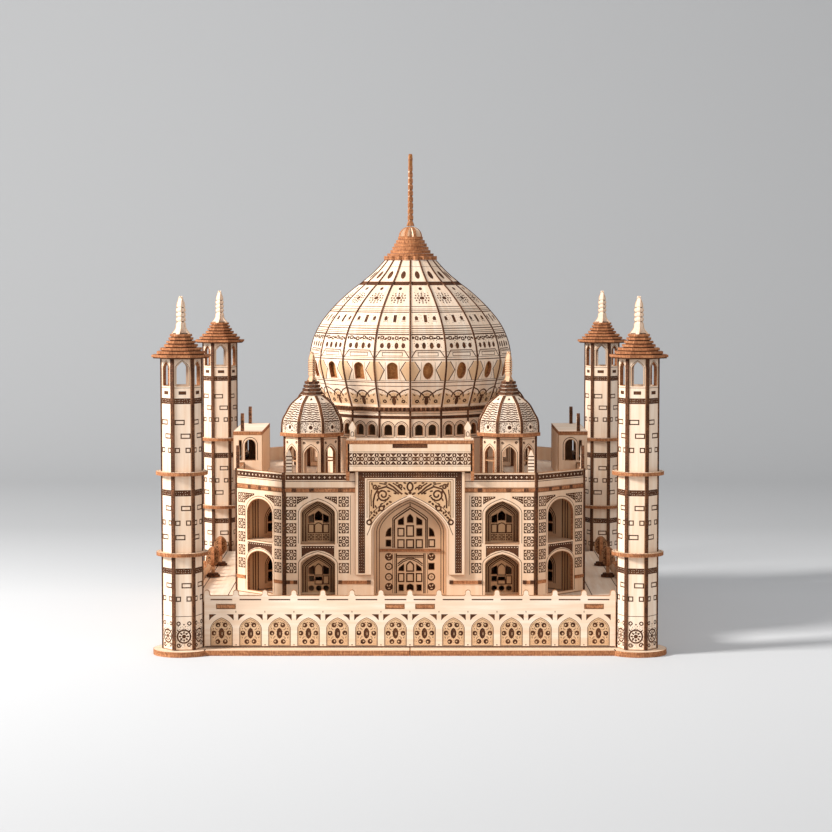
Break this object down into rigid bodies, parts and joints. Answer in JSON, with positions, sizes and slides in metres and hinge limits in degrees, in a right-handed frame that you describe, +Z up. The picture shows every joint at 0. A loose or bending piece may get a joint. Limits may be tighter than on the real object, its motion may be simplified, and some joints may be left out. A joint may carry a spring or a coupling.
{
  "type": "miniature landmark model",
  "caption": "Press-fit plywood model of a domed mausoleum: a square terrace with corner towers round an octagonal hall with portals, kiosks, a drum and an onion dome.",
  "frame": {"origin": "centre of the underside of the base, on the surface the model stands on", "axes": "+Z up along the spire, -Y out of the front portal, +X to the right seen from the front"},
  "size_m": [0.2894, 0.2894, 0.2861],
  "materials": {
    "wood_sheet": "raw basswood ply, laser engraved",
    "charred_edge": "laser-cut ply edges, singed brown",
    "base_sheet": "thicker raw basswood ply with singed edges"
  },
  "bodies": {
    "root": {"base_right": "base_sheet", "base_left": "base_sheet", "terrace_deck": "wood_sheet", "hall_roof": "wood_sheet", "hall_parapet": "wood_sheet", "terrace_wall_front": "wood_sheet", "hall_wall_front": "wood_sheet", "hall_screen_front": "wood_sheet", "portal_front": "wood_sheet", "terrace_wall_right": "wood_sheet", "hall_wall_right": "wood_sheet", "hall_screen_right": "wood_sheet", "portal_right": "wood_sheet", "terrace_wall_back": "wood_sheet", "hall_wall_back": "wood_sheet", "hall_screen_back": "wood_sheet", "portal_back": "wood_sheet", "terrace_wall_left": "wood_sheet", "hall_wall_left": "wood_sheet", "hall_screen_left": "wood_sheet", "portal_left": "wood_sheet", "corner_niche_front_right": "wood_sheet", "kiosk_pavilion_front_right": "wood_sheet", "kiosk_dome_front_right": "wood_sheet", "tower_shaft_front_right": "wood_sheet", "tower_lower_balcony_front_right": "charred_edge", "tower_upper_balcony_front_right": "charred_edge", "tower_roof_front_right": "charred_edge", "tree_front_right": "wood_sheet", "corner_niche_back_right": "wood_sheet", "kiosk_pavilion_back_right": "wood_sheet", "kiosk_dome_back_right": "wood_sheet", "tower_shaft_back_right": "wood_sheet", "tower_lower_balcony_back_right": "charred_edge", "tower_upper_balcony_back_right": "charred_edge", "tower_roof_back_right": "charred_edge", "tree_back_right": "wood_sheet", "corner_niche_back_left": "wood_sheet", "kiosk_pavilion_back_left": "wood_sheet", "kiosk_dome_back_left": "wood_sheet", "tower_shaft_back_left": "wood_sheet", "tower_lower_balcony_back_left": "charred_edge", "tower_upper_balcony_back_left": "charred_edge", "tower_roof_back_left": "charred_edge", "tree_back_left": "wood_sheet", "corner_niche_front_left": "wood_sheet", "kiosk_pavilion_front_left": "wood_sheet", "kiosk_dome_front_left": "wood_sheet", "tower_shaft_front_left": "wood_sheet", "tower_lower_balcony_front_left": "charred_edge", "tower_upper_balcony_front_left": "charred_edge", "tower_roof_front_left": "charred_edge", "tree_front_left": "wood_sheet", "drum": "wood_sheet", "main_dome": "wood_sheet", "dome_collar": "charred_edge", "spire": "charred_edge"}
  },
  "joints": []
}
